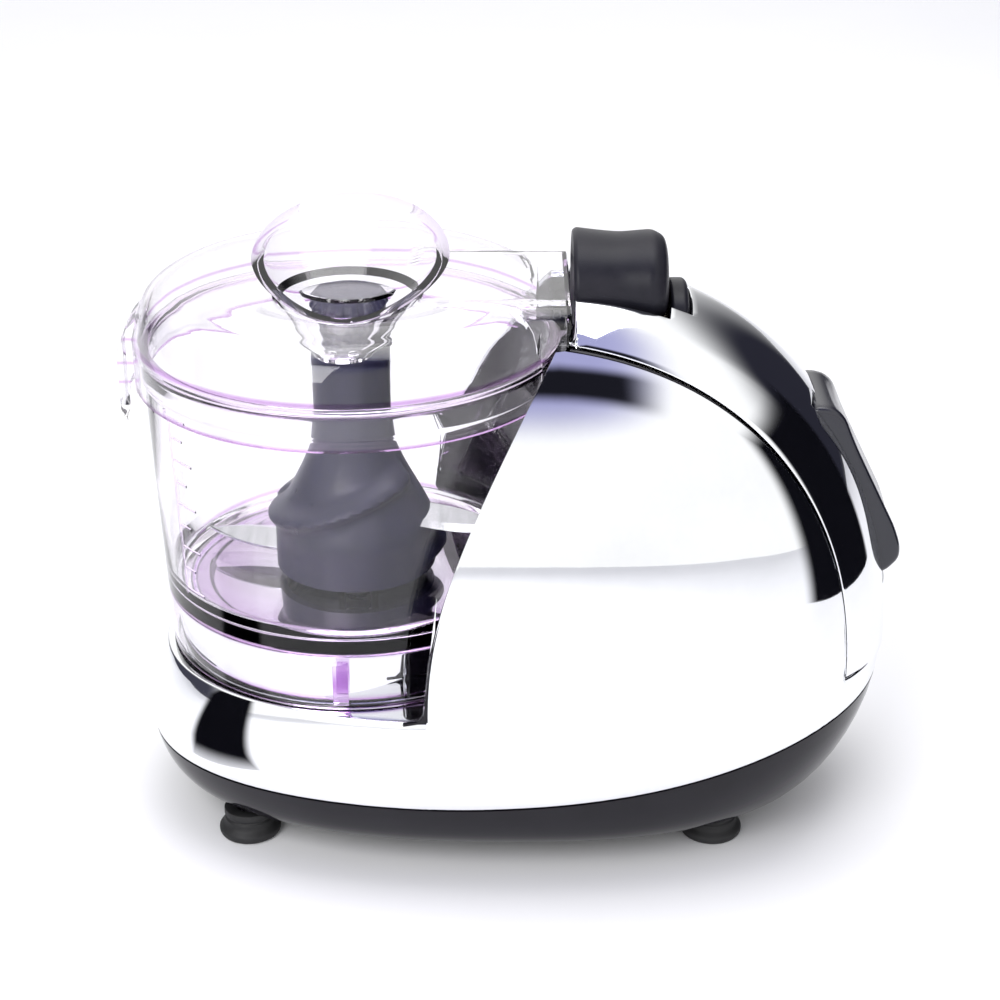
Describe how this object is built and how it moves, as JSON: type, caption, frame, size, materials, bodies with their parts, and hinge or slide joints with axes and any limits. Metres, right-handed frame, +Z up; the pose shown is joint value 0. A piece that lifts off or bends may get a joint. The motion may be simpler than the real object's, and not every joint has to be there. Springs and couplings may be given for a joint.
{
  "type": "food processor",
  "caption": "Mini food processor: clear chopping bowl with lift-off lid, drip funnel and S-blade on a plated, domed motor base with a pulse paddle.",
  "frame": {"origin": "centre of the footprint box, on the plane the four feet stand on", "axes": "+Z up; the bowl and the thumb tongue face -Y, the pulse paddle faces +Y; +X is the side the drip funnel leans towards"},
  "size_m": [0.138, 0.2346, 0.1845],
  "materials": {
    "chrome": "bright mirror plating on moulded plastic",
    "steel": "plain and stainless steel",
    "clear": "clear polycarbonate with a faint violet cast in its thick edges",
    "slate": "dark slate, satin",
    "soft_black": "soft-touch black, satin",
    "gloss_black": "deep gloss black",
    "rubber": "matt black",
    "nylon": "natural nylon",
    "bronze": "sintered bronze"
  },
  "bodies": {
    "base": {"upper_housing": "chrome", "spine_band": "chrome", "bowl_turret": "chrome", "foot_screw_front_left": "steel", "foot_screw_front_right": "steel", "foot_screw_rear_left": "steel", "foot_screw_rear_right": "steel", "chassis_plate": "steel", "motor_can": "steel", "motor_bracket": "steel", "paddle_pin": "steel", "paddle_spring": "steel", "switch_bracket": "steel", "button_spring": "steel", "base_tub": "gloss_black", "band_trim_left": "gloss_black", "band_trim_right": "gloss_black", "recess_liner": "gloss_black", "pulse_switch": "gloss_black", "interlock_switch": "gloss_black", "foot_front_left": "rubber", "foot_front_right": "rubber", "foot_rear_left": "rubber", "foot_rear_right": "rubber", "spindle_seal": "rubber", "cord_gland": "rubber", "drive_belt": "rubber", "motor_end_cap": "nylon", "terminal_block": "nylon", "suppressor_capacitor": "nylon", "paddle_yoke": "nylon", "button_guide": "nylon", "lower_bush": "bronze", "upper_bush": "bronze"},
    "spindle": {"spindle_shaft": "steel", "driven_pulley": "nylon", "drive_coupling": "steel"},
    "rotor": {"motor_shaft": "steel", "motor_pulley": "nylon", "cooling_fan": "nylon"},
    "paddle": {"pulse_paddle": "soft_black"},
    "button": {"release_button": "soft_black"},
    "bowl": {"bowl_shell": "clear"},
    "blade": {"blade_hub": "slate", "hub_grip_cap": "slate", "blade_lower": "steel", "blade_upper": "steel"},
    "lid": {"lid_shell": "clear", "drip_funnel": "clear", "handle_sleeve": "soft_black"}
  },
  "joints": [
    {"name": "spindle_spin", "type": "hinge", "parent": "base", "child": "spindle", "pos_m": [0, -0.0487, 0.06], "axis": [0, 0, 1], "continuous": true},
    {"name": "rotor_spin", "type": "hinge", "parent": "base", "child": "rotor", "pos_m": [0, 0.0484, 0.06], "axis": [0, 0, 1], "continuous": true},
    {"name": "paddle_press", "type": "hinge", "parent": "base", "child": "paddle", "pos_m": [0, 0.0843, 0.127], "axis": [-1, 0, 0], "range_deg": [0, 4], "stiffness_Nm_per_rad": 1.5, "springref_deg": -2.86},
    {"name": "button_press", "type": "slide", "parent": "base", "child": "button", "axis": [0, 0, -1], "range_m": [0, 0.0025], "stiffness_N_per_m": 800, "springref_m": -0.002},
    {"name": "bowl_lift", "type": "slide", "parent": "base", "child": "bowl", "axis": [0, 0, 1], "range_m": [0, 0.11]},
    {"name": "blade_spin", "type": "hinge", "parent": "bowl", "child": "blade", "pos_m": [0, -0.0487, 0.09], "axis": [0, 0, 1], "continuous": true},
    {"name": "lid_lift", "type": "slide", "parent": "bowl", "child": "lid", "axis": [0, 0, 1], "range_m": [0, 0.09]}
  ],
  "couplings": [
    {"joint": "rotor_spin", "follows": "spindle_spin", "ratio": 3},
    {"joint": "blade_spin", "follows": "spindle_spin", "ratio": 1}
  ]
}
